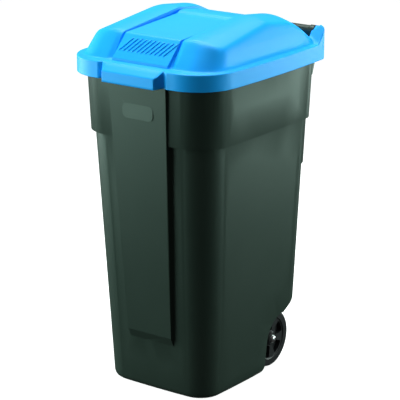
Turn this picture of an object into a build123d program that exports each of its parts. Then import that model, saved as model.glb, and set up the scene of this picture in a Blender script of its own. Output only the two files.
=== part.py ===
from build123d import *
from math import cos, radians, sin
import os

# Two-wheeled household bin, about 110 litres: a tapered moulded tub with a rear handle, a hinged
# lid on two pins, and two wheels on a through axle held by brackets in a recess under the rear.
# Frame: +Z up, the front (lid grip, raised panel) faces -Y, the wheels are at the rear (+Y).
# Origin: on the floor, under the middle of the lid. Units are millimetres.

os.makedirs("parts", exist_ok=True)

# ---- overall levels -------------------------------------------------------------------------
wall = 4.0                      # tub wall
band_wall = 4.6                 # wall of the upper band
floor_thickness = 9.0
foot_radius = 16.0              # the tub's bottom edge is rounded to this, in short steps
foot_turns = (30.0, 50.0, 70.0, 90.0)
step_height = 645.0             # where the tub steps out into its upper band
tub_height = 826.0              # top of the tub's rim
lid_wall = 3.5
skirt_bottom = 790.0
flange_top = 830.6              # flat flange of the lid
lid_peak = 919.0

# ---- tub outlines: half width, front y, rear y, front and rear corner radius, front and side bow
base_outline = (160.0, -174.0, 231.5, 62.0, 60.0, 4.0, 5.0)
under_step_outline = (190.3, -212.8, 241.0, 79.4, 54.0, 8.9, 7.0)
step_outline = (199.5, -222.0, 250.0, 84.9, 59.0, 8.9, 7.0)
rim_outline = (206.2, -230.2, 258.0, 89.0, 62.0, 8.9, 7.0)
rim_lip = 9.0                   # the rim turns outward by this much, except at the rear
rim_lip_height = 8.0
rim_lip_rear = 232.0
rear_pad_bottom = 525.0         # raised pad round the rear, under the step
rear_pad_front = 120.0          # inside the wall, so that the pad grows smoothly out of the corner
rear_pad_inside = 1.5           # at the sides the pad lies this deep in the wall
rear_pad_proud = 5.0
rear_pad_sharper = 7.0          # its rear corners are this much smaller in radius than the tub's

# ---- raised front panel -----------------------------------------------------------------------
panel_top_half = 86.0
panel_bottom_half = 66.0
panel_flank = 7.0               # each flank spreads this much towards the wall
panel_bottom = 152.0
panel_toe = 130.0               # the sloped underside dies into the wall here
panel_lean = 0.066              # forward lean, mm per mm of height
panel_front_at_floor = -182.0
panel_toe_setback = 9.0         # the toe lies this far behind the panel's face
panel_depth = 34.0
badge_length = 90.0
badge_height = 36.0
badge_centre = 718.0
badge_proud = 1.2
badge_corner = 13.0

# ---- wheels and axle --------------------------------------------------------------------------
axle_y = 120.0
axle_z = 77.0
axle_radius = 6.0
running_clearance = 0.05
wheel_radius = 74.5
wheel_inner = 112.0
wheel_outer = 150.0
hub_inner = 108.0
hub_outer = 153.0
hub_radius = 15.0
hub_root_radius = 19.0
window_inner_radius = 21.0
window_outer_radius = 51.0
window_depth = 15.0
window_corner = 4.0
spoke_count = 5
spoke_angle = -10.0             # first spoke, from +Y towards +Z
spoke_spread = 30.0             # angle that one spoke takes up
axle_half = 158.0
cap_radius = 8.5
cap_end = 161.0
cap_start = 155.2
washer_radius = 10.5
spacer_radius = 13.0
bracket_outer = 102.0
bracket_thickness = 8.0
bracket_inner = 38.0
bracket_eye = 17.0

# ---- recess under the rear of the tub ---------------------------------------------------------
recess_front = 92.0
recess_roof = 158.0
recess_roof_rear = 182.0
pocket_front = 40.0
pocket_inner = 104.0
pocket_width = 80.0
pocket_length = 120.0

# ---- handle and hinge -------------------------------------------------------------------------
hinge_y = 268.0
hinge_z = 850.0
bar_radius = 13.0
arm_inner = 158.0
arm_outer = 172.0
arm_foot = 742.0
pin_radius = 7.0
pin_head_radius = 11.0
pin_head = 3.5
pin_hold = 12.0                 # how far each pin goes into its arm
eye_radius = 15.0
cheek_inner = 174.0
cheek_outer = 180.0

# ---- lid --------------------------------------------------------------------------------------
lid_outline = (224.9, -253.0, 254.0, 104.0, 16.0, 6.0, 11.3)
dome_sections = [                # height, half width, front y, rear y, corner radius
    (flange_top, 197.0, -221.0, 244.0, 48.0),
    (868.0, 178.0, -190.0, 196.0, 46.0),
    (890.0, 160.0, -168.0, 160.0, 44.0),
    (905.0, 146.0, -96.0, 126.0, 40.0),
    (lid_peak, 126.0, -6.0, 92.0, 34.0),
]
strip_half = 82.0
groove_width = 6.0
groove_depth = 12.0
strip_profile = [                # y, height: up the ribbed slope, over the ridge, down to the rear
    (-221.0, 836.0),
    (-168.0, 889.0),
    (51.0, 914.0),
    (126.0, 903.0),
    (160.0, 888.0),
    (244.0, 831.0),
]
skirt_end_half = 205.5          # across the rear the skirt is cut away as far as this
skirt_end_cut = [(238.0, 789.0), (257.0, 789.0), (257.0, 804.0)]
rear_tongue_half = 155.0
rear_tongue_end = 261.0
notch_front = 249.0
ear_toe = 214.0
ear_crest = 250.0
ear_top = 872.0
grip_half = 76.0
grip_front = -268.0
grip_drop = 814.0
grip_bottom = 788.0


def section(z, outline, inset=0.0):
    """One closed outline of the tub or lid at height z, moved inward by inset."""
    half, front, rear, front_radius, rear_radius, front_bow, side_bow = outline
    half = half - inset
    front = front + inset
    rear = rear - inset
    middle = (front + rear) / 2
    with BuildSketch(Plane.XY.offset(z)) as sketch:
        with BuildLine():
            corner = half - side_bow
            front_corner = front + front_bow
            rear_corner = rear - 0.3 * front_bow
            ThreePointArc((-corner, front_corner), (0, front), (corner, front_corner))
            ThreePointArc((corner, front_corner), (half, middle), (corner, rear_corner))
            ThreePointArc((corner, rear_corner), (0, rear), (-corner, rear_corner))
            ThreePointArc((-corner, rear_corner), (-half, middle), (-corner, front_corner))
        make_face()
        fillet(sketch.vertices().group_by(Axis.Y)[0], max(front_radius - inset, 2.0))
        fillet(sketch.vertices().group_by(Axis.Y)[-1], max(rear_radius - inset, 2.0))
    return sketch.sketch


def blend_outline(lower, upper, share):
    """The outline at a share of the way between two outlines."""
    return tuple(low + (high - low) * share for low, high in zip(lower, upper))


def changed(outline, narrower, longer, sharper):
    """An outline made narrower on each side, longer at the rear, with smaller rear corners."""
    half, front, rear, front_radius, rear_radius, front_bow, side_bow = outline
    return (half - narrower, front, rear + longer, front_radius, rear_radius - sharper, front_bow, side_bow)


def shrunk(outline, inset):
    """An outline moved inward by inset all round."""
    half, front, rear, front_radius, rear_radius, front_bow, side_bow = outline
    radii = (front_radius - inset, rear_radius - inset)
    return (half - inset, front + inset, rear - inset, *radii, front_bow, side_bow)


def frustum(z_low, low, z_high, high, inset=0.0):
    """A solid that tapers straight from one outline to another."""
    with BuildPart() as solid:
        add(section(z_low, low, inset))
        add(section(z_high, high, inset))
        loft(ruled=True)
    return solid.part


def round_footed(outline, upper, height):
    """A straight taper from the floor to height whose bottom edge is rounded in short steps."""
    start = foot_radius * cos(radians(foot_turns[0]))
    levels = []
    for turn in foot_turns:
        z = start - foot_radius * cos(radians(turn))
        inset = foot_radius * (1 - sin(radians(turn)))
        levels.append((z, shrunk(blend_outline(outline, upper, z / height), inset)))
    levels.append((height, upper))
    with BuildPart() as solid:
        for (z_low, low), (z_high, high) in zip(levels, levels[1:]):
            add(frustum(z_low, low, z_high, high))
    return solid.part


def side_prism(points, half_from, half_to):
    """A profile in (y, z) made solid between two x positions."""
    with BuildPart() as solid:
        with BuildSketch(Plane.YZ.offset(half_from)):
            with BuildLine():
                Polyline(*points, close=True)
            make_face()
        extrude(amount=half_to - half_from)
    return solid.part


def panel_block(inset):
    """The raised front panel as a solid that starts inside the wall; inset thins it for the hollow."""
    with BuildPart() as solid:
        for z in (panel_toe, panel_bottom, tub_height):
            share = (z - panel_bottom) / (tub_height - panel_bottom)
            half = panel_bottom_half + (panel_top_half - panel_bottom_half) * max(share, 0.0) - inset
            front = panel_front_at_floor - panel_lean * z + inset
            if z == panel_toe:
                front = front + panel_toe_setback
            back = front + panel_depth
            with BuildSketch(Plane.XY.offset(z)):
                with BuildLine():
                    Polyline(
                        (-half, front),
                        (half, front),
                        (half + panel_flank, back),
                        (-half - panel_flank, back),
                        close=True,
                    )
                make_face()
        loft(ruled=True)
    return solid.part


# ---- tub --------------------------------------------------------------------------------------
under_lip_outline = blend_outline(step_outline, rim_outline, 0.9)
recess_profile = [
    (recess_front, -1.0),
    (recess_front, recess_roof),
    (recess_roof_rear, recess_roof),
    (238.0, 184.0),
    (300.0, 212.0),
    (300.0, -1.0),
]
housing_profile = [
    (recess_front - wall, 0.0),
    (recess_front - wall, recess_roof + wall),
    (recess_roof_rear - 1.5, recess_roof + wall),
    (236.0, 189.0),
    (300.0, 217.0),
    (300.0, 0.0),
]
lower_hollow = frustum(-2.0, base_outline, step_height, under_step_outline, wall)
lower_body = round_footed(base_outline, under_step_outline, step_height)
band_foot_outline = blend_outline(base_outline, under_step_outline, 0.9)
band_hollow = frustum(step_height - 6.0, band_foot_outline, tub_height + 1.0, rim_outline, band_wall)
pad_change = (rear_pad_inside, rear_pad_proud, rear_pad_sharper)
pad_low = changed(
    blend_outline(base_outline, under_step_outline, rear_pad_bottom / step_height), *pad_change
)
pad_high = changed(under_step_outline, *pad_change)

with BuildPart(mode=Mode.PRIVATE) as rear_pad:
    add(frustum(rear_pad_bottom, pad_low, step_height, pad_high))
    with Locations((0, rear_pad_front + 200.0, step_height)):
        Box(600, 400, 600, mode=Mode.INTERSECT)

with BuildPart(mode=Mode.PRIVATE) as wheel_pockets:
    pocket_middle = pocket_inner + pocket_width / 2
    with Locations(
        (pocket_middle, pocket_front + pocket_length / 2, recess_roof / 2 - 1.0),
        (-pocket_middle, pocket_front + pocket_length / 2, recess_roof / 2 - 1.0),
    ):
        Box(pocket_width, pocket_length, recess_roof + 2.0)
    add(lower_hollow, mode=Mode.INTERSECT)

with BuildPart(mode=Mode.PRIVATE) as rear_housing:
    add(side_prism(housing_profile, -200.0, 200.0))
    with Locations(
        (pocket_middle - wall, pocket_front - wall + pocket_length / 2, (recess_roof + wall) / 2),
        (wall - pocket_middle, pocket_front - wall + pocket_length / 2, (recess_roof + wall) / 2),
    ):
        Box(pocket_width, pocket_length, recess_roof + wall)
    add(lower_body, mode=Mode.INTERSECT)

with BuildPart(mode=Mode.PRIVATE) as rear_recess:
    add(side_prism(recess_profile, -200.0, 200.0))
    add(lower_hollow, mode=Mode.INTERSECT)

with BuildPart(mode=Mode.PRIVATE) as wheel_arch:
    with BuildSketch(Plane.YZ.offset(-220.0)):
        with BuildLine():
            toe = Line((54.0, -1.0), (54.0, 0.0))
            ThreePointArc(toe @ 1, (70.0, 8.0), (76.5, 24.0))
            Line((76.5, 24.0), (80.0, 74.0))
            ThreePointArc((80.0, 74.0), (99.0, 121.0), (152.0, 142.0))
            Polyline((152.0, 142.0), (260.0, 196.0), (300.0, 196.0), (300.0, -1.0), (54.0, -1.0))
        make_face()
    extrude(amount=440.0)

with BuildPart(mode=Mode.PRIVATE) as axle_brackets:
    right_starts = (bracket_inner - bracket_thickness, bracket_outer - bracket_thickness)
    for start in (-bracket_outer, -bracket_inner, *right_starts):
        with BuildSketch(Plane.YZ.offset(start)):
            with Locations((axle_y, axle_z)):
                Circle(bracket_eye)
            with BuildLine():
                Polyline(
                    (recess_front - 1.0, 40.0),
                    (axle_y - 2.0, axle_z - bracket_eye),
                    (axle_y + bracket_eye - 0.2, axle_z),
                    (axle_y + 30.0, recess_roof + 1.0),
                    (recess_front - 1.0, recess_roof + 1.0),
                    close=True,
                )
            make_face()
        extrude(amount=bracket_thickness)

with BuildPart(mode=Mode.PRIVATE) as panel_hollow:
    add(panel_block(wall))
    with Locations((0, 0, panel_bottom + 500.0 + wall)):
        Box(600, 600, 1000, mode=Mode.INTERSECT)

with BuildPart(mode=Mode.PRIVATE) as floor_slab:
    add(lower_body)
    with Locations((0, 0, floor_thickness / 2)):
        Box(600, 600, floor_thickness, mode=Mode.INTERSECT)

# rim lip, turned outward at the front and sides
with BuildPart(mode=Mode.PRIVATE) as lip:
    add(frustum(tub_height - rim_lip_height, under_lip_outline, tub_height, rim_outline, -rim_lip))
    add(frustum(step_height, step_outline, tub_height + 1.0, rim_outline, wall), mode=Mode.SUBTRACT)
    with Locations((0, rim_lip_rear - 500.0, tub_height)):
        Box(1000, 1000, 100, mode=Mode.INTERSECT)

with BuildPart() as tub:
    add(lower_body)
    add(frustum(step_height, step_outline, tub_height, rim_outline))
    add(rear_pad.part)
    add(panel_block(0.0))
    add(lower_hollow, mode=Mode.SUBTRACT)
    add(band_hollow, mode=Mode.SUBTRACT)
    add(panel_hollow.part, mode=Mode.SUBTRACT)
    add(floor_slab.part)
    add(rear_housing.part)
    add(rear_recess.part, mode=Mode.SUBTRACT)
    add(wheel_pockets.part, mode=Mode.SUBTRACT)
    add(wheel_arch.part, mode=Mode.SUBTRACT)
    add(axle_brackets.part)
    # blank badge pad on the panel
    badge_front = panel_front_at_floor - panel_lean * badge_centre - badge_proud
    with BuildSketch(Plane.XZ.offset(-badge_front)):
        with Locations((0, badge_centre)):
            RectangleRounded(badge_length, badge_height, badge_corner)
    extrude(amount=-(badge_proud + wall / 2))
    add(lip.part)
    # handle: two arms that rise from the rear wall, and the bar between them
    for start in (-arm_outer, arm_inner):
        with BuildSketch(Plane.YZ.offset(start)):
            with Locations((hinge_y, hinge_z)):
                Circle(eye_radius)
            with BuildLine():
                Polyline(
                    (250.0, arm_foot),
                    (256.0, arm_foot),
                    (hinge_y + eye_radius - 1.0, hinge_z - 34.0),
                    (hinge_y + eye_radius, hinge_z),
                    (hinge_y - eye_radius, hinge_z),
                    (hinge_y - eye_radius, tub_height - 2.0),
                    (240.0, tub_height - 2.0),
                    close=True,
                )
            make_face()
        extrude(amount=arm_outer - arm_inner)
    with BuildSketch(Plane.YZ.offset(-arm_inner - 1.0)):
        with Locations((hinge_y, hinge_z)):
            Circle(bar_radius)
    extrude(amount=2 * arm_inner + 2.0)
    # bores for the hinge pins and the axle
    for start in (-arm_outer - 1.0, arm_outer - pin_hold):
        with BuildSketch(Plane.YZ.offset(start)):
            with Locations((hinge_y, hinge_z)):
                Circle(pin_radius + running_clearance)
        extrude(amount=pin_hold + 1.0, mode=Mode.SUBTRACT)
    with BuildSketch(Plane.YZ.offset(-bracket_outer - 1.0)):
        with Locations((axle_y, axle_z)):
            Circle(axle_radius + running_clearance)
    extrude(amount=2 * bracket_outer + 2.0, mode=Mode.SUBTRACT)
tub.part.label = "tub"
export_step(tub.part, "parts/tub.step")


# ---- lid --------------------------------------------------------------------------------------
def dome(inset):
    """The lid's dome: level sections joined straight, moved inward and down by inset."""
    with BuildPart() as solid:
        for z, half, front, rear, radius in dome_sections:
            with BuildSketch(Plane.XY.offset(z - inset)):
                with Locations((0, (front + rear) / 2)):
                    RectangleRounded(2 * (half - inset), rear - front - 2 * inset, radius - inset)
        loft(ruled=True)
    with BuildPart() as sides:
        add(solid.part)
        with Locations((0, 0, lid_peak)):
            Box(2 * (strip_half + groove_width + inset), 800, 240, mode=Mode.SUBTRACT)
        with Locations((0, 0, flange_top - lid_wall / 2)):
            Box(360.0 - 2 * inset, 380.0, lid_wall)
    return sides.part


def strip(inset, lowered, half):
    """The central strip's profile as a solid, moved inward by inset and down by lowered."""
    front_y, front_z = strip_profile[0]
    rear_y, rear_z = strip_profile[-1]
    points = [(front_y + inset, 800.0), (front_y + inset, front_z - inset - lowered)]
    for y, z in strip_profile[1:-1]:
        points.append((y, z - 1.2 * inset - lowered))
    points.append((rear_y - inset, rear_z - inset - lowered))
    points.append((rear_y - inset, 800.0))
    return side_prism(points, -half, half)


def lid_top(inset, cut_height):
    """All of the lid above cut_height: two side domes, the strip, and the floors of both grooves."""
    with BuildPart() as solid:
        add(dome(inset))
        add(strip(inset, 0.0, strip_half - inset))
        add(strip(inset, groove_depth, strip_half + groove_width + 2.0 + inset))
        with Locations((0, 0, cut_height - 100.0)):
            Box(800, 800, 200, mode=Mode.SUBTRACT)
    return solid.part


grip_slope = [(-243.0, flange_top), (grip_front, grip_drop), (grip_front, grip_bottom)]
grip_lip = grip_slope + [
    (grip_front + lid_wall, grip_bottom),
    (grip_front + lid_wall, grip_drop - 2.0),
    (-243.0, flange_top - lid_wall - 1.0),
]
grip_cheek = grip_slope + [
    (lid_outline[1] + lid_wall, grip_bottom),
    (lid_outline[1] + lid_wall, grip_drop + 4.0),
    (-243.0, flange_top - lid_wall - 1.0),
]
ear_wedge = [
    (ear_toe, flange_top - lid_wall),
    (ear_toe, flange_top),
    (ear_crest, ear_top),
    (lid_outline[2], ear_top),
    (lid_outline[2], flange_top - lid_wall),
]
ear_hollow = [
    (ear_toe + 4.6, flange_top - lid_wall - 1.0),
    (ear_toe + 4.6, flange_top),
    (lid_outline[2] - lid_wall, ear_top - 5.0),
    (lid_outline[2] - lid_wall, flange_top - lid_wall - 1.0),
]
cheek_web = [
    (ear_toe + 14.0, flange_top - lid_wall),
    (ear_crest, ear_top - 2.0),
    (hinge_y, hinge_z + eye_radius),
    (hinge_y, hinge_z - eye_radius),
    (lid_outline[2] - 1.0, flange_top - lid_wall),
]

with BuildPart(mode=Mode.PRIVATE) as ears:
    for start in (-lid_outline[0], cheek_inner):
        add(side_prism(ear_wedge, start, start + lid_outline[0] - cheek_inner))
    add(frustum(skirt_bottom, lid_outline, ear_top + 1.0, lid_outline), mode=Mode.INTERSECT)

with BuildPart(mode=Mode.PRIVATE) as ear_hollows:
    for start in (-lid_outline[0], cheek_outer):
        add(side_prism(ear_hollow, start, start + lid_outline[0] - cheek_outer))
    add(frustum(skirt_bottom, lid_outline, ear_top + 1.0, lid_outline, lid_wall), mode=Mode.INTERSECT)

with BuildPart(mode=Mode.PRIVATE) as cheeks:
    for start in (-cheek_outer, cheek_inner):
        add(side_prism(cheek_web, start, start + cheek_outer - cheek_inner))
        with BuildSketch(Plane.YZ.offset(start)):
            with Locations((hinge_y, hinge_z)):
                Circle(eye_radius)
        extrude(amount=cheek_outer - cheek_inner)

with BuildPart() as lid:
    add(frustum(skirt_bottom, lid_outline, flange_top, lid_outline))
    skirt_hollow = frustum(skirt_bottom - 1.0, lid_outline, flange_top - lid_wall, lid_outline, lid_wall)
    add(skirt_hollow, mode=Mode.SUBTRACT)
    # the skirt stops at the rear corners, so that it clears the tub as the lid turns
    with Locations((0, lid_outline[2] - 20.0, skirt_bottom + 10.0)):
        Box(2 * skirt_end_half, 60.0, 2 * (flange_top - lid_wall - skirt_bottom - 10.0), mode=Mode.SUBTRACT)
    add(side_prism(skirt_end_cut, -lid_outline[0] - 5.0, lid_outline[0] + 5.0), mode=Mode.SUBTRACT)
    with Locations((0, rear_tongue_end - 10.0, flange_top - lid_wall / 2)):
        Box(2 * rear_tongue_half, 20.0, lid_wall)
    # finger grip at the front, in place of the skirt there
    with Locations((0, -253.0, (skirt_bottom + flange_top) / 2)):
        Box(2 * grip_half, 20.0, 60.0, mode=Mode.SUBTRACT)
    add(side_prism(grip_lip, -grip_half, grip_half))
    add(side_prism(grip_cheek, -grip_half, -grip_half + lid_wall))
    add(side_prism(grip_cheek, grip_half - lid_wall, grip_half))
    add(lid_top(0.0, flange_top - lid_wall))
    add(lid_top(lid_wall, skirt_bottom), mode=Mode.SUBTRACT)
    # ears at the rear corners, with the hinge cheeks on their inner sides
    add(ears.part)
    add(ear_hollows.part, mode=Mode.SUBTRACT)
    with Locations(
        ((arm_inner + arm_outer) / 2, notch_front + 20.0, flange_top),
        (-(arm_inner + arm_outer) / 2, notch_front + 20.0, flange_top),
    ):
        Box(arm_outer - arm_inner + 5.0, 40.0, 60.0, mode=Mode.SUBTRACT)
    add(cheeks.part)
    for start in (-cheek_outer - 1.0, cheek_inner - 1.0):
        with BuildSketch(Plane.YZ.offset(start)):
            with Locations((hinge_y, hinge_z)):
                Circle(pin_radius + running_clearance)
        extrude(amount=cheek_outer - cheek_inner + 2.0, mode=Mode.SUBTRACT)
lid.part.label = "lid"
export_step(lid.part, "parts/lid.step")


# ---- turned pieces: each is a profile in (x, radius), spun about its own axis -------------------
def turned(profile, centre_y, centre_z):
    """A piece spun about a line along X through (centre_y, centre_z)."""
    with BuildPart() as solid:
        with BuildSketch(Plane(origin=(0, centre_y, centre_z), x_dir=(1, 0, 0), z_dir=(0, 0, 1))):
            with BuildLine():
                Polyline(*profile, close=True)
            make_face()
        revolve(axis=Axis((0, centre_y, centre_z), (1, 0, 0)))
    return solid.part


def sided(profile, side):
    """The profile for the right side (+1) or mirrored for the left (-1)."""
    return [(side * x, radius) for x, radius in profile]


pin_profile = [
    (arm_outer - pin_hold + 0.5, 0.0),
    (arm_outer - pin_hold + 0.5, pin_radius - 1.0),
    (arm_outer - pin_hold + 1.5, pin_radius),
    (cheek_outer + 0.4, pin_radius),
    (cheek_outer + 0.4, pin_head_radius),
    (cheek_outer + 0.4 + pin_head - 1.0, pin_head_radius),
    (cheek_outer + 0.4 + pin_head, pin_head_radius - 2.0),
    (cheek_outer + 0.4 + pin_head, 0.0),
]
cap_profile = [
    (cap_start, axle_radius + running_clearance),
    (cap_start, cap_radius),
    (cap_start + 2.0, cap_radius),
    (cap_end - 1.6, cap_radius * 0.82),
    (cap_end - 0.4, cap_radius * 0.45),
    (cap_end, 0.0),
    (axle_half + 0.2, 0.0),
    (axle_half + 0.2, axle_radius + running_clearance),
]
washer_profile = [
    (hub_outer + 0.3, axle_radius + running_clearance),
    (hub_outer + 0.3, washer_radius),
    (cap_start - 0.3, washer_radius),
    (cap_start - 0.3, axle_radius + running_clearance),
]
spacer_profile = [
    (bracket_outer + 0.3, axle_radius + running_clearance),
    (bracket_outer + 0.3, spacer_radius),
    (hub_inner - 0.3, spacer_radius),
    (hub_inner - 0.3, axle_radius + running_clearance),
]
wheel_profile = [
    (hub_inner, axle_radius + running_clearance),
    (hub_inner, hub_radius),
    (wheel_inner + 3.0, hub_root_radius),
    (wheel_inner + 3.0, window_outer_radius + 2.0),
    (wheel_inner, window_outer_radius + 4.0),
    (wheel_inner, wheel_radius - 6.0),
    (wheel_inner + 1.8, wheel_radius - 1.8),
    (wheel_inner + 6.0, wheel_radius),
    (wheel_outer - 6.0, wheel_radius),
    (wheel_outer - 1.8, wheel_radius - 1.8),
    (wheel_outer, wheel_radius - 6.0),
    (wheel_outer, window_outer_radius + 4.0),
    (wheel_outer - 3.0, window_outer_radius + 2.0),
    (wheel_outer - 3.0, hub_root_radius),
    (hub_outer, hub_radius),
    (hub_outer, axle_radius + running_clearance),
]
axle_profile = [
    (-axle_half, 0.0),
    (-axle_half, axle_radius - 1.0),
    (-axle_half + 1.0, axle_radius),
    (axle_half - 1.0, axle_radius),
    (axle_half, axle_radius - 1.0),
    (axle_half, 0.0),
]

# one window of a wheel: a sector about the axle, centred on the sketch's first direction
window_half_angle = radians(180.0 / spoke_count - spoke_spread / 2)
window_start = Vector(cos(window_half_angle), sin(window_half_angle))
with BuildSketch(mode=Mode.PRIVATE) as window_sketch:
    with BuildLine():
        inner_high = window_start * window_inner_radius
        outer_high = window_start * window_outer_radius
        inner_low = Vector(inner_high.X, -inner_high.Y)
        outer_low = Vector(outer_high.X, -outer_high.Y)
        Line(inner_low, outer_low)
        ThreePointArc(outer_low, (window_outer_radius, 0), outer_high)
        Line(outer_high, inner_high)
        ThreePointArc(inner_high, (window_inner_radius, 0), inner_low)
    make_face()
    fillet(window_sketch.vertices(), window_corner)
window = window_sketch.sketch

with BuildPart() as axle:
    add(turned(axle_profile, axle_y, axle_z))
axle.part.label = "axle"
export_step(axle.part, "parts/axle.step")

for name, side in (("left", -1), ("right", 1)):
    with BuildPart() as hinge_pin:
        add(turned(sided(pin_profile, side), hinge_y, hinge_z))
    hinge_pin.part.label = "hinge_pin_" + name
    export_step(hinge_pin.part, "parts/hinge_pin_" + name + ".step")

    with BuildPart() as push_cap:
        add(turned(sided(cap_profile, side), axle_y, axle_z))
    push_cap.part.label = "push_cap_" + name
    export_step(push_cap.part, "parts/push_cap_" + name + ".step")

    with BuildPart() as washer:
        add(turned(sided(washer_profile, side), axle_y, axle_z))
    washer.part.label = "washer_" + name
    export_step(washer.part, "parts/washer_" + name + ".step")

    with BuildPart() as spacer:
        add(turned(sided(spacer_profile, side), axle_y, axle_z))
    spacer.part.label = "spacer_" + name
    export_step(spacer.part, "parts/spacer_" + name + ".step")

    with BuildPart() as wheel:
        add(turned(sided(wheel_profile, side), axle_y, axle_z))
        # sector windows between the spokes, blind from both faces
        for face, into in ((wheel_outer, -1), (wheel_inner, 1)):
            with BuildSketch(Plane.YZ.offset(side * face)):
                with Locations((axle_y, axle_z)):
                    with PolarLocations(0, spoke_count, spoke_angle + 180.0 / spoke_count):
                        add(window)
            extrude(amount=side * into * window_depth, mode=Mode.SUBTRACT)
    wheel.part.label = "wheel_" + name
    export_step(wheel.part, "parts/wheel_" + name + ".step")
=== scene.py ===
"""Studio scene for a two-wheeled bin: a refined lid, moulded-plastic and metal finishes, camera and light.

All sizes are metres in the frame's own axes: +Z up, the lid's grip faces -Y, the wheels are at +Y.
"""

import math

import bmesh
import bpy
import numpy as np
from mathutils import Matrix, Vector


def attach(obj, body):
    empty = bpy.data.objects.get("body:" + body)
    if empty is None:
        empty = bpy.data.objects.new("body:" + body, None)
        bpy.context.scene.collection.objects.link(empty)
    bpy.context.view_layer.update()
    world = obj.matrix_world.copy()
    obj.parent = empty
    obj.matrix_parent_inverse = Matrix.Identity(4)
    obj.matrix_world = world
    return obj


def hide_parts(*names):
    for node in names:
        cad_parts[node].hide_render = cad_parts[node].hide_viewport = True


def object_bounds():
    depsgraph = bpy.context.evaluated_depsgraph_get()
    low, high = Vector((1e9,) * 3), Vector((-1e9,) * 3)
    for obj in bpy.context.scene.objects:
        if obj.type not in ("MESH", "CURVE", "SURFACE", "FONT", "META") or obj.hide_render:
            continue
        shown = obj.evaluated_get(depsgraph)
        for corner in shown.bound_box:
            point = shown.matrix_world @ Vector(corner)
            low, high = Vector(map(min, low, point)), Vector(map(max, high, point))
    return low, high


MM = 0.001

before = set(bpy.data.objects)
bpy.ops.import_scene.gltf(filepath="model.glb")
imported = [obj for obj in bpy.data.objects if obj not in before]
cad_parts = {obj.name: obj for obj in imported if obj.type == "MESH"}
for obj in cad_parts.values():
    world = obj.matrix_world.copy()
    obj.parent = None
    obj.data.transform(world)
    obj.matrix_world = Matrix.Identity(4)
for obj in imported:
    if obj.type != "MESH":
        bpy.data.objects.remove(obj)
cad_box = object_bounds()
scene = bpy.context.scene

# ---- lid sizes, in millimetres ------------------------------------------------------------------
LID_WALL = 3.5
FLANGE = 830.6                  # level of the flat flange
SKIRT_BOTTOM = 790.0
EDGE = 3.0                      # rounding where the flange turns down into the skirt
LID_HALF, LID_FRONT, LID_REAR = 224.9, -253.0, 254.0
LID_FRONT_RADIUS, LID_REAR_RADIUS = 104.0, 16.0
LID_FRONT_BOW, LID_SIDE_BOW = 6.0, 11.3
REAR_BOW_SHARE = 0.3            # the rear edge bows by this share of the front's
EDGE_COUNTS = (60, 60, 160, 24, 40)    # points on the edge: front, corner, side, corner, rear
LEVEL_ROWS_FROM = -120.0        # behind this the rows run straight across
EVENING_ROUNDS = 1500
INNER_HALF = 101.0              # the straight columns of the lid's mesh end here
SKIRT_CUT_FROM, SKIRT_CUT_TOP = 238.0, 801.5    # the skirt's rear corners are cut off at a slant
SKIRT_END_HALF = 205.4          # across the rear there is no skirt as far as this
MAIN_REAR = 249.0               # the full-width rows end here, at the hinge notches
TONGUE_HALF, TONGUE_REAR = 155.0, 261.0
EAR_START, EAR_TOE, EAR_CREST, EAR_TOP = 174.5, 214.0, 250.0, 872.0
EAR_CROWN_FROM, EAR_FALL = 196.0, 0.9    # inward of here each ear's top falls towards the hinge
STRIP_HALF, GROOVE, GROOVE_DEPTH = 82.0, 6.0, 12.0
CROWN_LINE = [(-300.0, 757.0), (-168.0, 889.0), (51.0, 914.0), (138.0, 904.0), (178.0, 887.0), (310.0, 796.0)]
CROWN_RISE, CROWN_FALL, CROWN_MIDDLE = 4.5, 0.0042, 118.0    # each dome's crown is a shallow arch
STRIP_LINE = [
    (-300.0, 757.0), (-168.0, 889.0), (34.0, 903.0), (44.0, 909.0), (60.0, 910.0), (126.0, 901.0),
    (160.0, 888.0), (300.0, 793.0),
]
STRIP_FOOT, STRIP_FOOT_TOP, STRIP_TAIL = -221.0, 836.0, 244.0
# dome levels: height, half width, front y, rear y, front and rear corner radius
DOME = np.array([
    (793.2, 220.0, -249.0, 294.0, 74.0, 46.0),
    (FLANGE, 202.0, -218.0, 246.0, 66.0, 44.0),
    (868.0, 191.0, -190.0, 220.0, 58.0, 42.0),
    (890.0, 182.0, -176.0, 194.0, 52.0, 40.0),
    (940.0, 160.0, -142.0, 130.0, 44.0, 36.0),
])
DOME_INNER_CORNER = 6.0        # each dome's front draws back by this much beside the groove
# how widely the lid's corners are rounded: along each line, and where two faces meet
STRIP_ROUND, CROWN_ROUND = 2.5, 8.0
DOME_CREST_ROUND, DOME_FOOT_ROUND, GROOVE_ROUND, EAR_CREST_ROUND, EAR_FOOT_ROUND = 9.0, 5.0, 4.0, 3.0, 6.0
GRIP_HALF, GRIP_FRONT, GRIP_DROP = 76.0, -268.0, 814.0
GRIP_TOP = -243.0               # the grip's slope leaves the flange here
GRIP_GAP = 90.0                 # the middle of the gap between the grip and the skirt
GRIP_BELOW, GRIP_ROUNDING = 2.0, 1.2
RIB_COUNT, RIB_PITCH, RIB_WIDTH, RIB_HEIGHT = 11, 13.0, 6.5, 2.5
RIB_FIRST, RIB_LEAN = -76.0, 26.0
RIB_SLOPE_FROM, RIB_SLOPE_TO = 0.30, 0.86
HINGE_Y, HINGE_Z = 268.0, 850.0
CHEEK_INNER, CHEEK_OUTER, EYE_RADIUS, BORE_RADIUS = 174.0, 180.0, 15.0, 7.05
CHEEK_WEB = np.array([(228.0, 828.0), (247.0, 851.0)])    # (y, z) ends of the web, under the ear
CHEEK_SOFT = 0.6                # the cheeks' edges are cut back by this much


# ---- small helpers --------------------------------------------------------------------------------
def smooth_max(a, b, width):
    """The larger of two heights, with the corner between them rounded over this width."""
    lap = np.maximum(width - np.abs(a - b), 0.0) / width
    return np.maximum(a, b) + lap * lap * width / 4


def smooth_min(a, b, width):
    return -smooth_max(-a, -b, width)


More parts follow.
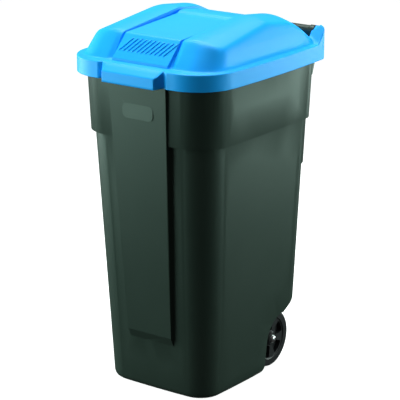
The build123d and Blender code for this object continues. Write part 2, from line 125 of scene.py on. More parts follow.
def ramp(value, low, high):
    """0 below low, 1 above high, with an S-shaped rise between them."""
    t = np.clip((value - low) / (high - low), 0.0, 1.0)
    return t * t * (3 - 2 * t)


def rounded_line(y, points, reach):
    """Height on a line through (y, z) points whose corners are rounded by averaging over reach."""
    ys, zs = zip(*points)
    shifts = np.linspace(-reach, reach, 9)
    return sum(np.interp(y + shift, ys, zs) for shift in shifts) / len(shifts)


def between(start, end, share):
    """A point at a share of the way from start to end."""
    return tuple(a + (b - a) * share for a, b in zip(start, end))


def arc_between(centre, radius, start, end, count):
    """Points on a circle from one angle to another, in radians."""
    angles = np.linspace(start, end, count)
    return np.stack([centre[0] + radius * np.cos(angles), centre[1] + radius * np.sin(angles)], 1)


def circle_radius(half_chord, bow):
    """Radius of the circle that rises by bow over a chord of twice this half."""
    return (half_chord ** 2 + bow ** 2) / (2 * bow)


def half_outline(outline, inset, counts):
    """The right half of a bowed, round-cornered outline, from (0, front) round to (0, rear).

    Returns its five stretches: front, front corner, side, rear corner, rear."""
    half, front, rear, front_radius, rear_radius, front_bow, side_bow = outline
    corner = half - side_bow
    rear_bow = REAR_BOW_SHARE * front_bow
    span = (rear - rear_bow - front - front_bow) / 2
    middle = (rear - rear_bow + front + front_bow) / 2
    front_curve = circle_radius(corner, front_bow)
    side_curve = circle_radius(span, side_bow)
    rear_curve = circle_radius(corner, rear_bow)
    front_circle = (np.array([0.0, front + front_curve]), front_curve - inset)
    side_circle = (np.array([half - side_curve, middle]), side_curve - inset)
    rear_circle = (np.array([0.0, rear - rear_curve]), rear_curve - inset)
    turns = []
    for end_circle, radius, sign in ((front_circle, front_radius, -1), (rear_circle, rear_radius, 1)):
        radius = max(radius - inset, 1.0)
        centre = corner_centre(end_circle, side_circle, radius, sign)
        to_end = centre - end_circle[0]
        to_side = centre - side_circle[0]
        turns.append((centre, radius, math.atan2(to_end[1], to_end[0]), math.atan2(to_side[1], to_side[0])))
    (front_c, front_r, front_a, front_s), (rear_c, rear_r, rear_a, rear_s) = turns
    return [
        arc_between(front_circle[0], front_circle[1], -math.pi / 2, front_a, counts[0]),
        arc_between(front_c, front_r, front_a, front_s, counts[1]),
        arc_between(side_circle[0], side_circle[1], front_s, rear_s, counts[2]),
        arc_between(rear_c, rear_r, rear_s, rear_a, counts[3]),
        arc_between(rear_circle[0], rear_circle[1], rear_a, math.pi / 2, counts[4]),
    ]


def corner_centre(end_circle, side_circle, radius, sign):
    """Centre of the corner arc that touches both circles from inside; sign picks front or rear."""
    a, ra = end_circle[0], end_circle[1] - radius
    b, rb = side_circle[0], side_circle[1] - radius
    gap = np.linalg.norm(b - a)
    along = (ra ** 2 - rb ** 2 + gap ** 2) / (2 * gap)
    off = math.sqrt(max(ra ** 2 - along ** 2, 0.0))
    unit = (b - a) / gap
    side = np.array([-unit[1], unit[0]])
    both = (a + unit * along + side * off, a + unit * along - side * off)
    return max(both, key=lambda p: p[0] + sign * p[1])


def along(line, share):
    """Points at shares of a polyline's length."""
    steps = np.concatenate([[0.0], np.cumsum(np.linalg.norm(np.diff(line, axis=0), axis=1))])
    target = np.asarray(share) * steps[-1]
    return np.stack([np.interp(target, steps, line[:, 0]), np.interp(target, steps, line[:, 1])], -1)


def new_object(name, vertices, faces, body, slot):
    """A mesh object from millimetre vertices, riding on a body."""
    mesh = bpy.data.meshes.new(name)
    mesh.from_pydata([tuple(MM * c for c in v) for v in vertices], [], faces)
    mesh.validate()
    made = bpy.data.objects.new(name, mesh)
    scene.collection.objects.link(made)
    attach(made, body)
    return made


# ---- lid ------------------------------------------------------------------------------------------
LID_OUTLINE = (LID_HALF, LID_FRONT, LID_REAR, LID_FRONT_RADIUS, LID_REAR_RADIUS, LID_FRONT_BOW, LID_SIDE_BOW)


def dome_height(x, y):
    """Height of the dome's sides, found as the level whose outline passes through each point."""
    shifts = np.linspace(-4.0, 4.0, 7)

    def level(z, column):
        return sum(np.interp(z + s, DOME[:, 0], DOME[:, column]) for s in shifts) / len(shifts)

    low = np.full(x.shape, DOME[0, 0])
    high = np.full(x.shape, DOME[-1, 0])
    for _ in range(22):
        z = (low + high) / 2
        half, front, rear = level(z, 1), level(z, 2), level(z, 3)
        middle = (front + rear) / 2
        radius = np.where(y < middle, level(z, 4), level(z, 5))
        across = np.abs(x) - (half - radius)
        depth = np.abs(y - middle) - ((rear - front) / 2 - radius)
        beyond = np.hypot(np.maximum(across, 0), np.maximum(depth, 0))
        outside = beyond + np.minimum(np.maximum(across, depth), 0) - radius
        inside = outside < 0
        low = np.where(inside, z, low)
        high = np.where(inside, high, z)
    return (low + high) / 2


def lid_height(x, y, ear_share):
    """Height of the lid's upper face. ear_share is 1 on the columns that belong to the rear ears."""
    side = np.abs(x)
    line = rounded_line(y, STRIP_LINE, STRIP_ROUND)
    arch = CROWN_RISE - CROWN_FALL * (side - CROWN_MIDDLE) ** 2
    crown = rounded_line(y, CROWN_LINE, CROWN_ROUND) + arch
    inner_corner = DOME_INNER_CORNER * (1 - ramp(side, 84.0, 104.0)) * (1 - ramp(y, -190.0, -140.0))
    dome = smooth_min(dome_height(x, y - inner_corner), crown, DOME_CREST_ROUND)
    dome = smooth_max(dome, np.full(x.shape, FLANGE), DOME_FOOT_ROUND)
    foot = ramp(y, STRIP_FOOT - 0.9, STRIP_FOOT + 0.9) * (1 - ramp(y, STRIP_TAIL - 4.0, STRIP_TAIL + 3.0))
    strip = FLANGE + (np.maximum(line, STRIP_FOOT_TOP) - FLANGE) * foot
    floor = smooth_max(line - GROOVE_DEPTH, np.full(x.shape, FLANGE), GROOVE_ROUND)
    floor = FLANGE + (floor - FLANGE) * foot
    to_groove = ramp(side, STRIP_HALF - 0.6, STRIP_HALF + 1.0)
    to_dome = ramp(side, STRIP_HALF + GROOVE - 1.0, STRIP_HALF + GROOVE + 0.6)
    height = strip * (1 - to_groove) + floor * to_groove * (1 - to_dome) + dome * to_dome
    ear = FLANGE + (EAR_TOP - FLANGE) * (y - EAR_TOE) / (EAR_CREST - EAR_TOE)
    ear_crown = EAR_TOP - EAR_FALL * np.maximum(EAR_CROWN_FROM - side, 0.0)
    ear = smooth_min(ear, ear_crown, EAR_CREST_ROUND)
    return height + (smooth_max(height, ear, EAR_FOOT_ROUND) - height) * ear_share


def spread(*stretches):
    """Numbers from stretches of (start, end, step); each stretch's end starts the next."""
    values = [stretches[0][0]]
    for start, end, step in stretches:
        count = max(1, round(abs(end - start) / step))
        values.extend(np.linspace(start, end, count + 1)[1:])
    return np.array(values)


def grip_profile(x):
    """Front y of the lid at three levels of one column: at the flange, at mid height, at the bottom."""
    side = abs(x)
    outline = front_edge(side)
    top = np.interp(side, [GRIP_HALF, 84.0, 92.0, INNER_HALF], [GRIP_TOP, -245.0, -246.5, outline + EDGE])
    middle = np.interp(side, [GRIP_HALF, 79.0, GRIP_GAP, INNER_HALF], [GRIP_FRONT, -263.0, -246.0, outline])
    bottom = np.interp(side, [GRIP_HALF, 79.0, GRIP_GAP, INNER_HALF], [GRIP_FRONT, -262.0, -245.0, outline])
    return top, middle, bottom


def front_edge(x):
    """y of the lid's bowed front edge at x."""
    corner = LID_HALF - LID_SIDE_BOW
    radius = circle_radius(corner, LID_FRONT_BOW)
    return LID_FRONT + radius - math.sqrt(radius ** 2 - x ** 2)


def lid_columns():
    """Straight columns of the lid from the middle out, closest where the walls are steep."""
    return spread(
        (0.0, 66.0, 8.0), (66.0, 75.0, 3.0), (75.0, 80.5, 1.1), (80.5, 83.5, 0.4), (83.5, 86.5, 1.0),
        (86.5, 89.5, 0.4), (89.5, 93.0, 1.2), (93.0, INNER_HALF, 2.7),
    )


def lid_rows():
    """Straight rows of the lid from the front edge back, after the edge row itself."""
    return spread(
        (-240.0, -224.0, 4.0), (-224.0, -218.0, 0.6), (-218.0, -178.0, 4.0), (-178.0, -156.0, 2.0),
        (-156.0, 36.0, 4.8), (36.0, 66.0, 3.0), (66.0, 236.0, 4.2), (236.0, MAIN_REAR, 1.6),
    )


def lid_plan():
    """The plan positions of the right half's grid, and what the rest of the lid needs of it."""
    columns = lid_columns()
    rows = lid_rows()
    inner_count = len(columns)
    # outer columns, by their x at the rear
    inset = half_outline(LID_OUTLINE, EDGE, EDGE_COUNTS)
    rear_corner = inset[3]
    rear_end_x = np.interp(MAIN_REAR, rear_corner[:, 1], rear_corner[:, 0])
    rear_x = spread(
        (INNER_HALF, TONGUE_HALF, 3.4), (TONGUE_HALF, 173.0, 3.6), (173.0, 177.0, 0.6),
        (177.0, rear_end_x - 4.0, 3.0), (rear_end_x - 4.0, rear_end_x, 1.4),
    )
    outer_count = len(rear_x)
    share = (rear_x - INNER_HALF) / (rear_end_x - INNER_HALF)
    corner = inset[1]
    half_way = len(corner) // 2
    front_run = inset[0][inset[0][:, 0] > INNER_HALF]
    start = np.array([[INNER_HALF, front_edge(INNER_HALF) + EDGE]])
    front_run = np.concatenate([start, front_run, corner[1:half_way + 1]])
    side_run = np.concatenate([corner[half_way:], inset[2][1:], rear_corner[1:]])
    side_run = side_run[side_run[:, 1] <= MAIN_REAR]
    side_run = np.concatenate([side_run, [[rear_end_x, MAIN_REAR]]])
    front_points = along(front_run, share)
    front_y = front_run[0, 1]
    corner_y = side_run[0, 1]
    left_y = np.concatenate([[front_y], rows])
    squeezed = np.interp(left_y, [front_y, LEVEL_ROWS_FROM], [corner_y, LEVEL_ROWS_FROM])
    right_y = np.where(left_y < LEVEL_ROWS_FROM, squeezed, left_y)
    right_points = np.stack([np.interp(right_y, side_run[:, 1], side_run[:, 0]), right_y], 1)
    right_points[0] = side_run[0]
    blend = (left_y - front_y) / (MAIN_REAR - front_y)
    xs = np.zeros((len(left_y), inner_count + outer_count - 1))
    ys = np.zeros_like(xs)
    for j in range(len(left_y)):
        for i, x in enumerate(columns):
            xs[j, i] = x
            ys[j, i] = grip_profile(x)[0] if j == 0 else rows[j - 1]
        for k in range(1, outer_count):
            u, v = share[k], blend[j]
            low = (1 - u) * front_run[0] + u * side_run[0]
            high = np.array([rear_x[k], MAIN_REAR])
            straight = (1 - v) * low + v * high
            edge_u = (1 - v) * front_points[k] + v * high
            edge_v = (1 - u) * np.array([INNER_HALF, left_y[j]]) + u * right_points[j]
            xs[j, inner_count - 1 + k], ys[j, inner_count - 1 + k] = edge_u + edge_v - straight
    # even out the cells: each moves towards the weighted mean of its neighbours, which unfolds them
    column_step = np.diff(rear_x)
    row_step = np.diff(left_y)
    across = (row_step[:-1] + row_step[1:])[:, None] / 2 / column_step[None, :]
    down = (column_step[:-1] + column_step[1:])[None, :] / 2 / row_step[:, None]
    weights = (across[:, :-1], across[:, 1:], down[:-1], down[1:])
    total = sum(weights)
    for _ in range(EVENING_ROUNDS):
        for values in (xs, ys):
            block = values[:, inner_count - 1:]
            around = (block[1:-1, :-2], block[1:-1, 2:], block[:-2, 1:-1], block[2:, 1:-1])
            block[1:-1, 1:-1] = sum(w * v for w, v in zip(weights, around)) / total
    ear_column = np.concatenate([np.zeros(inner_count - 1), ramp(rear_x, EAR_START, EAR_START + 1.6)])
    ear_share = np.tile(ear_column, (len(left_y), 1))
    return xs, ys, ear_share, rear_x, rear_corner, inner_count


def build_lid():
    """The lid's outer face: a height field over the plan, a tongue, ears, a skirt and a finger grip."""
    xs, ys, ear_share, rear_x, rear_corner, inner_count = lid_plan()
    # rows past the notches: the tongue behind the middle, and the ears' rear strips
    tongue_rows = np.array([252.0, 256.0, 259.5, TONGUE_REAR])
    ear_rows = np.array([250.0, LID_REAR - EDGE])
    tongue_columns = inner_count - 1 + int(np.argmin(np.abs(rear_x - TONGUE_HALF)))
    ear_first = inner_count - 1 + int(np.argmin(np.abs(rear_x - EAR_START)))

    vertices, faces = [], []
    index = {}

    def vertex(key, x, y, z):
        if key not in index:
            index[key] = len(vertices)
            vertices.append((x, y, z))
        return index[key]

    def quad(a, b, c, d, side):
        faces.append((a, b, c, d) if side > 0 else (d, c, b, a))

    heights = lid_height(xs, ys, ear_share)
    last_row, last_column = xs.shape[0] - 1, xs.shape[1] - 1

    def grid(side, j, i):
        mirrored = 0 if i == 0 else side
        return vertex((mirrored, j, i), side * xs[j, i], ys[j, i], heights[j, i])

    def extra(side, kind, j, i):
        """A vertex of the tongue or the ear behind the full-width rows; row 0 is the last full row."""
        if j == 0:
            return grid(side, last_row, i)
        x = xs[last_row, i]
        if kind == "tongue":
            y, z = tongue_rows[j - 1], FLANGE
        else:
            y = ear_rows[j - 1]
            if i == last_column:
                x = np.interp(y, rear_corner[:, 1], rear_corner[:, 0])
            x = min(x, np.interp(y, rear_corner[:, 1], rear_corner[:, 0]))
            z = float(lid_height(np.array([x]), np.array([y]), np.array([ear_share[0, i]]))[0])
        mirrored = 0 if i == 0 else side
        return vertex((kind, mirrored, j, i), side * x, y, z)

    for side in (1, -1):
        for j in range(last_row):
            for i in range(last_column):
                quad(
                    grid(side, j, i), grid(side, j, i + 1),
                    grid(side, j + 1, i + 1), grid(side, j + 1, i), side,
                )
        for j in range(len(tongue_rows)):
            for i in range(tongue_columns):
                quad(
                    extra(side, "tongue", j, i), extra(side, "tongue", j, i + 1),
                    extra(side, "tongue", j + 1, i + 1), extra(side, "tongue", j + 1, i), side,
                )
        for j in range(len(ear_rows)):
            for i in range(ear_first, last_column):
                quad(
                    extra(side, "ear", j, i), extra(side, "ear", j, i + 1),
                    extra(side, "ear", j + 1, i + 1), extra(side, "ear", j + 1, i), side,
                )

        # the skirt hangs from the edge: rear of the ear, side, front corner, front, and the grip
        loop = [extra(side, "ear", len(ear_rows), i) for i in range(ear_first, last_column + 1)]
        loop += [extra(side, "ear", j, last_column) for j in range(len(ear_rows) - 1, 0, -1)]
        loop += [grid(side, j, last_column) for j in range(last_row, -1, -1)]
        loop += [grid(side, 0, i) for i in range(last_column - 1, -1, -1)]
        previous = None
        for number, top in enumerate(loop):
            x, y, z = vertices[top]
            ring = [top] + skirt_ring(side, number, abs(x), y, z, vertices, index)
            if previous:
                for level in range(len(ring) - 1):
                    quad(previous[level], ring[level], ring[level + 1], previous[level + 1], -side)
            previous = ring
    return vertices, faces


def skirt_ring(side, number, x, y, z, vertices, index):
    """The vertices below one edge vertex, from the rounded edge down to the skirt's bottom."""
    points = []
    if y < 0 and x < INNER_HALF - 0.01:
        top, middle, bottom = grip_profile(x)
        share = ramp(x, GRIP_HALF, GRIP_GAP)
        corner_z = GRIP_DROP * (1 - share) + (z - EDGE) * share
        line = [(top, z), (middle, corner_z), (bottom, SKIRT_BOTTOM - GRIP_BELOW * (1 - share))]
        for step in (0.45, 0.85, 0.93, 1.0):
            points.append((x, *between(line[0], line[1], step)))
        points[-1] = (x, points[-1][1], points[-1][2] - GRIP_ROUNDING)
        for step in (0.12, 0.3, 0.6, 0.85, 1.0):
            points.append((x, *between(line[1], line[2], step)))
    else:
        outward = edge_normal(x, y)
        for turn in (30.0, 60.0, 90.0):
            angle = math.radians(turn)
            reach = EDGE * math.sin(angle)
            points.append((x + outward[0] * reach, y + outward[1] * reach, z - EDGE * (1 - math.cos(angle))))
        foot = SKIRT_BOTTOM
        if y > SKIRT_CUT_FROM - 8.0:
            foot = np.interp(y, [SKIRT_CUT_FROM, LID_REAR], [SKIRT_BOTTOM, SKIRT_CUT_TOP])
            if x + outward[0] * EDGE < SKIRT_END_HALF:
                foot = FLANGE - LID_WALL
        wall_x, wall_y, wall_z = points[-1]
        for step in (0.04, 0.25, 0.5, 0.75, 0.96, 1.0):
            points.append((wall_x, wall_y, wall_z + (foot - wall_z) * step))
    ring = []
    for level, point in enumerate(points):
        key = ("skirt", 0 if x < 1e-6 else side, number if x > 1e-6 else -1, level)
        if key not in index:
            index[key] = len(vertices)
            vertices.append((side * point[0], point[1], point[2]))
        ring.append(index[key])
    return ring


LID_EDGE = np.concatenate([part[:-1] for part in half_outline(LID_OUTLINE, EDGE, EDGE_COUNTS)])
LID_EDGE_NORMAL = np.gradient(LID_EDGE, axis=0)[:, ::-1] * (1, -1)
LID_EDGE_NORMAL /= np.linalg.norm(LID_EDGE_NORMAL, axis=1)[:, None]


def edge_normal(x, y):
    """Outward direction in plan at the point of the lid's edge nearest to (x, y)."""
    return LID_EDGE_NORMAL[np.argmin(np.hypot(LID_EDGE[:, 0] - x, LID_EDGE[:, 1] - y))]


def lid_ribs():
    """Slanting grip ribs on the strip's front slope, each a rounded bar with tapered ends."""
    vertices, faces = [], []
    low = np.array([STRIP_FOOT, STRIP_FOOT_TOP])
    high = np.array(STRIP_LINE[1])
    unit = (high - low) / np.linalg.norm(high - low)
    normal = np.array([-unit[1], unit[0]])
    steps, around = 13, 9
    for rib in range(RIB_COUNT):
        first = len(vertices)
        for step in range(steps):
            t = step / (steps - 1)
            slope = RIB_SLOPE_FROM + (RIB_SLOPE_TO - RIB_SLOPE_FROM) * t
            middle_x = RIB_FIRST + RIB_PITCH * rib + RIB_LEAN * t
            taper = math.sqrt(max(1 - (2 * t - 1) ** 12, 0.0))
            on_slope = low + (high - low) * slope
            for turn in range(around):
                angle = math.pi * turn / (around - 1)
                rise = RIB_HEIGHT * taper * math.sin(angle) ** 0.8 - 0.5
                point = on_slope + normal * rise
                reach = RIB_WIDTH / 2 * max(taper, 0.3)
                vertices.append((middle_x - math.cos(angle) * reach, *point))
        for step in range(steps - 1):
            for turn in range(around - 1):
                a = first + step * around + turn
                faces.append((a, a + 1, a + around + 1, a + around))
            a = first + step * around
            faces.append((a + around - 1, a, a + around, a + 2 * around - 1))
        faces.append(tuple(first + turn for turn in range(around))[::-1])
        last = first + (steps - 1) * around
        faces.append(tuple(last + turn for turn in range(around)))
    return vertices, faces


def hinge_cheeks():
    """The two plates inside the ears that turn on the hinge pins, each a web with a bored eye."""
    vertices, faces = [], []
    count = 40
    middle = np.array([HINGE_Y, HINGE_Z])
    for side in (-1, 1):
        bore, outline = [], []
        for turn in range(count):
            angle = 2 * math.pi * turn / count
            direction = np.array([math.cos(angle), math.sin(angle)])
            bore.append(middle + BORE_RADIUS * direction)
            # the rim runs out to the web on the side that faces the lid
            if math.cos(angle) < -0.35:
                outline.append(CHEEK_WEB[0] + (CHEEK_WEB[1] - CHEEK_WEB[0]) * (math.sin(angle) + 1) / 2)
            else:
                outline.append(middle + EYE_RADIUS * direction)
        ring_sets = []
        outer_levels = (
            (CHEEK_INNER, -CHEEK_SOFT), (CHEEK_INNER + CHEEK_SOFT, 0.0),
            (CHEEK_OUTER - CHEEK_SOFT, 0.0), (CHEEK_OUTER, -CHEEK_SOFT),
        )
        inner_levels = [(x, -grow) for x, grow in reversed(outer_levels)]
        for line, levels in ((outline, outer_levels), (bore, inner_levels)):
            for x, grow in levels:
                ring = []
                for point in line:
                    away = (point - middle) / np.linalg.norm(point - middle)
                    ring.append((side * x, *(point + away * grow)))
                ring_sets.append(ring)
        first = len(vertices)
        for ring in ring_sets:
            vertices.extend(ring)
        total = len(ring_sets)
        for level in range(total):
            for turn in range(count):
                a = first + level * count + turn
                b = first + level * count + (turn + 1) % count
                c = first + ((level + 1) % total) * count + (turn + 1) % count
                d = first + ((level + 1) % total) * count + turn
                faces.append((a, b, c, d))
    return vertices, faces


vertices, faces = build_lid()
lid = new_object("lid_moulding", vertices, faces, "lid", "lid_plastic")
lid.data.shade_smooth()
bm = bmesh.new()
bm.from_mesh(lid.data)
bmesh.ops.remove_doubles(bm, verts=bm.verts, dist=1e-6)
bmesh.ops.recalc_face_normals(bm, faces=bm.faces)
if sum(face.normal.z * face.calc_area() for face in bm.faces) < 0:
    bmesh.ops.reverse_faces(bm, faces=bm.faces)
bm.to_mesh(lid.data)
bm.free()
shell = lid.modifiers.new("wall", "SOLIDIFY")
shell.thickness = LID_WALL * MM
shell.offset = -1.0
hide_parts("lid")


def add_part(name, builder, body, slot):
    """A closed piece from a builder's vertices and faces, with outward normals and rounded shading."""
    made = new_object(name, *builder(), body, slot)
    bm = bmesh.new()
    bm.from_mesh(made.data)
    bmesh.ops.recalc_face_normals(bm, faces=bm.faces)
    bm.to_mesh(made.data)
    bm.free()
    made.data.shade_smooth()
    return made


lid_details = [
    add_part("lid_ribs", lid_ribs, "lid", "lid_plastic"),
    add_part("lid_hinge_cheeks", hinge_cheeks, "lid", "lid_plastic"),
]


# ---- materials --------------------------------------------------------------------------------------
def node(tree, kind, place, **values):
    """A shader node with its settings and input values."""
    made = tree.nodes.new(kind)
    made.location = place
    for key, value in values.items():
        if key in made.inputs:
            made.inputs[key].default_value = value
        else:
            setattr(made, key, value)
    return made


def moulded(name, dark, light, roughness, grain=1.6, specular=0.5):
    """Moulded plastic: fine spark-eroded grain, faint flow ripples, and slow colour and gloss changes.

    grain is the size of the surface grain in millimetres."""
    material = bpy.data.materials.new(name)
    material.use_nodes = True
    tree = material.node_tree
    tree.nodes.clear()
    output = node(tree, "ShaderNodeOutputMaterial", (900, 0))
    shader = node(tree, "ShaderNodeBsdfPrincipled", (600, 0))
    shader.inputs["Specular IOR Level"].default_value = specular
    where = node(tree, "ShaderNodeTexCoord", (-900, 0))
    clouds = node(tree, "ShaderNodeTexNoise", (-600, 250), Scale=4.0, Detail=3.0, Roughness=0.5)
    fine = node(tree, "ShaderNodeTexNoise", (-600, 0), Scale=1.0 / (grain * MM), Detail=3.0, Roughness=0.6)
    flow = node(tree, "ShaderNodeTexNoise", (-600, -300), Scale=4.0, Detail=1.0, Roughness=0.4)
    scuffs = node(tree, "ShaderNodeTexNoise", (-600, -550), Scale=30.0, Detail=3.0, Roughness=0.5)
    for texture in (clouds, fine, flow, scuffs):
        tree.links.new(where.outputs["Object"], texture.inputs["Vector"])
    tint = node(tree, "ShaderNodeMix", (0, 300), data_type="RGBA")
    tint.inputs["A"].default_value = (*dark, 1.0)
    tint.inputs["B"].default_value = (*light, 1.0)
    spread_tint = node(tree, "ShaderNodeMapRange", (-300, 300))
    spread_tint.inputs["From Min"].default_value = 0.3
    spread_tint.inputs["From Max"].default_value = 0.7
    tree.links.new(clouds.outputs["Fac"], spread_tint.inputs["Value"])
    tree.links.new(spread_tint.outputs["Result"], tint.inputs["Factor"])
    tree.links.new(tint.outputs["Result"], shader.inputs["Base Color"])
    gloss = node(tree, "ShaderNodeMapRange", (-300, -550))
    gloss.inputs["From Min"].default_value = 0.35
    gloss.inputs["From Max"].default_value = 0.75
    gloss.inputs["To Min"].default_value = roughness - 0.01
    gloss.inputs["To Max"].default_value = roughness + 0.015
    tree.links.new(scuffs.outputs["Fac"], gloss.inputs["Value"])
    tree.links.new(gloss.outputs["Result"], shader.inputs["Roughness"])
    ripples = node(tree, "ShaderNodeBump", (0, -250), Strength=0.5, Distance=0.1 * MM)
    tree.links.new(flow.outputs["Fac"], ripples.inputs["Height"])
    grains = node(tree, "ShaderNodeBump", (300, -200), Strength=0.6, Distance=0.03 * MM)
    tree.links.new(fine.outputs["Fac"], grains.inputs["Height"])
    tree.links.new(ripples.outputs["Normal"], grains.inputs["Normal"])
    tree.links.new(grains.outputs["Normal"], shader.inputs["Normal"])
    tree.links.new(shader.outputs["BSDF"], output.inputs["Surface"])
    return material


def metal(name, colour, roughness, drawn_along_x):
    """Bright metal with drawing lines and small scratches."""
    material = bpy.data.materials.new(name)
    material.use_nodes = True
    tree = material.node_tree
    shader = tree.nodes["Principled BSDF"]
    shader.inputs["Metallic"].default_value = 1.0
    where = node(tree, "ShaderNodeTexCoord", (-900, 0))
    stretch = node(tree, "ShaderNodeMapping", (-700, 0))
    stretch.inputs["Scale"].default_value = (4.0, 900.0, 900.0) if drawn_along_x else (300.0, 300.0, 300.0)
    lines = node(tree, "ShaderNodeTexNoise", (-500, 0), Scale=1.0, Detail=4.0)
    tree.links.new(where.outputs["Object"], stretch.inputs["Vector"])
    tree.links.new(stretch.outputs["Vector"], lines.inputs["Vector"])
    tint = node(tree, "ShaderNodeMix", (-250, 200), data_type="RGBA")
    tint.inputs["A"].default_value = (*[0.72 * c for c in colour], 1.0)
    tint.inputs["B"].default_value = (*colour, 1.0)
    tree.links.new(lines.outputs["Fac"], tint.inputs["Factor"])
    tree.links.new(tint.outputs["Result"], shader.inputs["Base Color"])
    gloss = node(tree, "ShaderNodeMapRange", (-250, -50))
    gloss.inputs["To Min"].default_value = roughness * 0.7
    gloss.inputs["To Max"].default_value = roughness * 1.4
    tree.links.new(lines.outputs["Fac"], gloss.inputs["Value"])
    tree.links.new(gloss.outputs["Result"], shader.inputs["Roughness"])
    bump = node(tree, "ShaderNodeBump", (-250, -300), Strength=0.3, Distance=0.04 * MM)
    tree.links.new(lines.outputs["Fac"], bump.inputs["Height"])
    tree.links.new(bump.outputs["Normal"], shader.inputs["Normal"])
    return material


lid_blue = moulded("lid_blue_plastic", (0.004, 0.350, 0.950), (0.007, 0.375, 0.980), 0.44, specular=0.28)
tub_green = moulded("tub_dark_plastic", (0.015, 0.026, 0.020), (0.020, 0.032, 0.025), 0.42, specular=0.38)
for material, tint in ((lid_blue, (0.45, 0.9, 1.0, 1.0)), (tub_green, (0.68, 0.95, 0.84, 1.0))):
    for shader in material.node_tree.nodes:
        if shader.type == "BSDF_PRINCIPLED":
            shader.inputs["Specular Tint"].default_value = tint
wheel_black = moulded("wheel_black_plastic", (0.010, 0.011, 0.012), (0.016, 0.017, 0.018), 0.34, grain=1.0)
pin_black = moulded("pin_black_plastic", (0.012, 0.012, 0.013), (0.020, 0.020, 0.021), 0.3, grain=0.8)
axle_metal = metal("axle_drawn_steel", (0.56, 0.56, 0.55), 0.3, True)
cap_metal = metal("cap_bright_zinc", (0.86, 0.87, 0.88), 0.2, False)

FINISHES = {
    "tub": tub_green, "axle": axle_metal, "washer": axle_metal, "push_cap": cap_metal,
    "spacer": pin_black, "hinge_pin": pin_black, "wheel": wheel_black, "lid": lid_blue,
}
for name, cad_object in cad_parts.items():
    base = name.removesuffix("_left").removesuffix("_right")
    for place in range(max(1, len(cad_object.material_slots))):
        if not cad_object.material_slots:
            cad_object.data.materials.append(FINISHES[base])
        cad_object.material_slots[place].material = FINISHES[base]


def soften_edges(cad_object, width, angle=32.0):
    """Rounds a CAD node's sharp edges as a mould would, without changing its own mesh."""
    weld = cad_object.modifiers.new("weld", "WELD")
    weld.merge_threshold = 0.02 * MM
    bevel = cad_object.modifiers.new("round", "BEVEL")
    bevel.width = width * MM
    bevel.segments = 3
    bevel.limit_method = "ANGLE"
    bevel.angle_limit = math.radians(angle)
    bevel.use_clamp_overlap = True
    bevel.harden_normals = True


for name, width in (("tub", 1.2), ("wheel_left", 1.0), ("wheel_right", 1.0)):
    soften_edges(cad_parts[name], width)
for piece in [lid] + lid_details:
    piece.data.materials.append(lid_blue)


# ---- floor, light and camera --------------------------------------------------------------------------
CAMERA_AZIMUTH, CAMERA_ELEVATION, CAMERA_DISTANCE = 36.3, 16.8, 4.55    # degrees, degrees, metres
CAMERA_LENS = 164.9             # on a sensor 36 mm wide
AIM = Vector((0.0087, -0.0021, -0.0123))    # from the middle of the object to the point aimed at


def make_floor():
    """A pale floor that fills the view."""
    size = 40.0
    mesh = bpy.data.meshes.new("studio_floor")
    corners = [(-size, -size, 0), (size, -size, 0), (size, size, 0), (-size, size, 0)]
    mesh.from_pydata(corners, [], [(0, 1, 2, 3)])
    floor = bpy.data.objects.new("studio_floor", mesh)
    scene.collection.objects.link(floor)
    material = bpy.data.materials.new("floor_pale")
    material.use_nodes = True
    tree = material.node_tree
    shader = tree.nodes["Principled BSDF"]
    shader.inputs["Roughness"].default_value = 0.9
    shader.inputs["Specular IOR Level"].default_value = 0.1
    shader.inputs["Base Color"].default_value = (0.5, 0.5, 0.5, 1.0)
    shader.inputs["Emission Color"].default_value = (1.0, 1.0, 1.0, 1.0)
    shader.inputs["Emission Strength"].default_value = 0.86
    mesh.materials.append(material)
    floor.visible_glossy = False
    floor.visible_diffuse = False
    return floor


def area_light(name, place, target, size, power, colour=(1.0, 1.0, 1.0)):
    """A rectangular soft light at place that points at target."""
    data = bpy.data.lights.new(name, "AREA")
    data.shape = "RECTANGLE"
    data.size, data.size_y = size
    data.energy = power
    data.color = colour
    lamp = bpy.data.objects.new(name, data)
    lamp.location = place
    lamp.rotation_mode = "QUATERNION"
    lamp.rotation_quaternion = (Vector(target) - Vector(place)).to_track_quat("-Z", "Y")
    lamp.visible_camera = False
    scene.collection.objects.link(lamp)
    return lamp


def polar(azimuth, distance, height):
    """A place around the object: azimuth 0 is in front, 90 is to its right."""
    angle = math.radians(azimuth)
    return (distance * math.sin(angle), -distance * math.cos(angle), height)


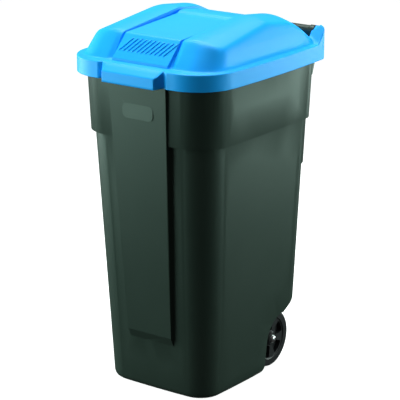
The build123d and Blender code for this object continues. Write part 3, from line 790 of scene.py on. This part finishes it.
def make_world():
    """A grey studio: bright overhead, darker towards the floor."""
    world = bpy.data.worlds.new("studio")
    scene.world = world
    world.use_nodes = True
    tree = world.node_tree
    background = tree.nodes["Background"]
    where = node(tree, "ShaderNodeTexCoord", (-900, 0))
    split = node(tree, "ShaderNodeSeparateXYZ", (-700, 0))
    tree.links.new(where.outputs["Generated"], split.inputs["Vector"])
    rise = node(tree, "ShaderNodeMapRange", (-450, 0))
    rise.inputs["From Min"].default_value = -0.3
    rise.inputs["From Max"].default_value = 0.8
    rise.inputs["To Min"].default_value = 0.04
    rise.inputs["To Max"].default_value = 0.26
    tree.links.new(split.outputs["Z"], rise.inputs["Value"])
    tree.links.new(rise.outputs["Result"], background.inputs["Strength"])
    background.inputs["Color"].default_value = (1.0, 1.0, 1.0, 1.0)


def make_camera():
    """The camera stands off the front right corner, a little above the lid."""
    middle = (cad_box[0] + cad_box[1]) / 2
    azimuth, elevation = math.radians(CAMERA_AZIMUTH), math.radians(CAMERA_ELEVATION)
    target = middle + AIM
    back = Vector((
        math.sin(azimuth) * math.cos(elevation),
        -math.cos(azimuth) * math.cos(elevation),
        math.sin(elevation),
    ))
    data = bpy.data.cameras.new("camera")
    data.lens = CAMERA_LENS
    data.sensor_width = 36.0
    data.clip_start, data.clip_end = 0.05, 100.0
    camera = bpy.data.objects.new("camera", data)
    camera.rotation_mode = "QUATERNION"
    camera.location = target + back * CAMERA_DISTANCE
    camera.rotation_quaternion = (-back).to_track_quat("-Z", "Y")
    scene.collection.objects.link(camera)
    scene.camera = camera


make_floor()
make_world()
area_light("softbox_left", polar(-60.0, 2.3, 0.75), (0.0, 0.0, 0.6), (3.0, 1.5), 108.0, (0.80, 1.0, 0.94))
area_light("softbox_right", polar(136.0, 2.4, 0.76), (0.0, 0.0, 0.6), (3.0, 1.35), 82.0, (0.80, 1.0, 0.94))
area_light("overhead", (-0.35, 0.4, 2.7), (0.0, 0.0, 0.9), (1.7, 1.7), 72.0)
make_camera()
scene.view_settings.view_transform = "Standard"
